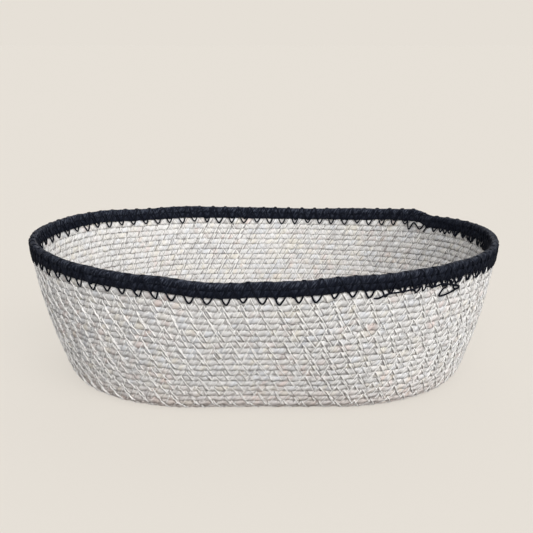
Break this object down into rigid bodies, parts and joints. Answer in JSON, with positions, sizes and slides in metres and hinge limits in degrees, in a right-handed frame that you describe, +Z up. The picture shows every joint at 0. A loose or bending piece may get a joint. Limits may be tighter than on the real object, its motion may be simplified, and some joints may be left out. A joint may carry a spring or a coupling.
{
  "type": "oval coiled basket",
  "caption": "Open oval storage basket wound from seagrass cord, with a flat base, a flaring bowed wall and a black corded rim sewn on with a zigzag thread.",
  "frame": {"origin": "on the floor, under the middle of the basket's box", "axes": "+X along the oval, +Y to the back, where the rim's cord ends on the right, +Z up"},
  "size_m": [0.3415, 0.2418, 0.1024],
  "materials": {
    "seagrass_cord": "bleached two-ply twisted seagrass cord, matt",
    "black_cord": "dyed black twisted cord, matt with a faint sheen",
    "black_thread": "black sewing thread, faint sheen"
  },
  "bodies": {
    "root": {"base_coil": "seagrass_cord", "wall_coil": "seagrass_cord", "rim_coil": "black_cord", "rim_stitch_outside": "black_thread", "rim_stitch_inside": "black_thread"}
  },
  "joints": []
}
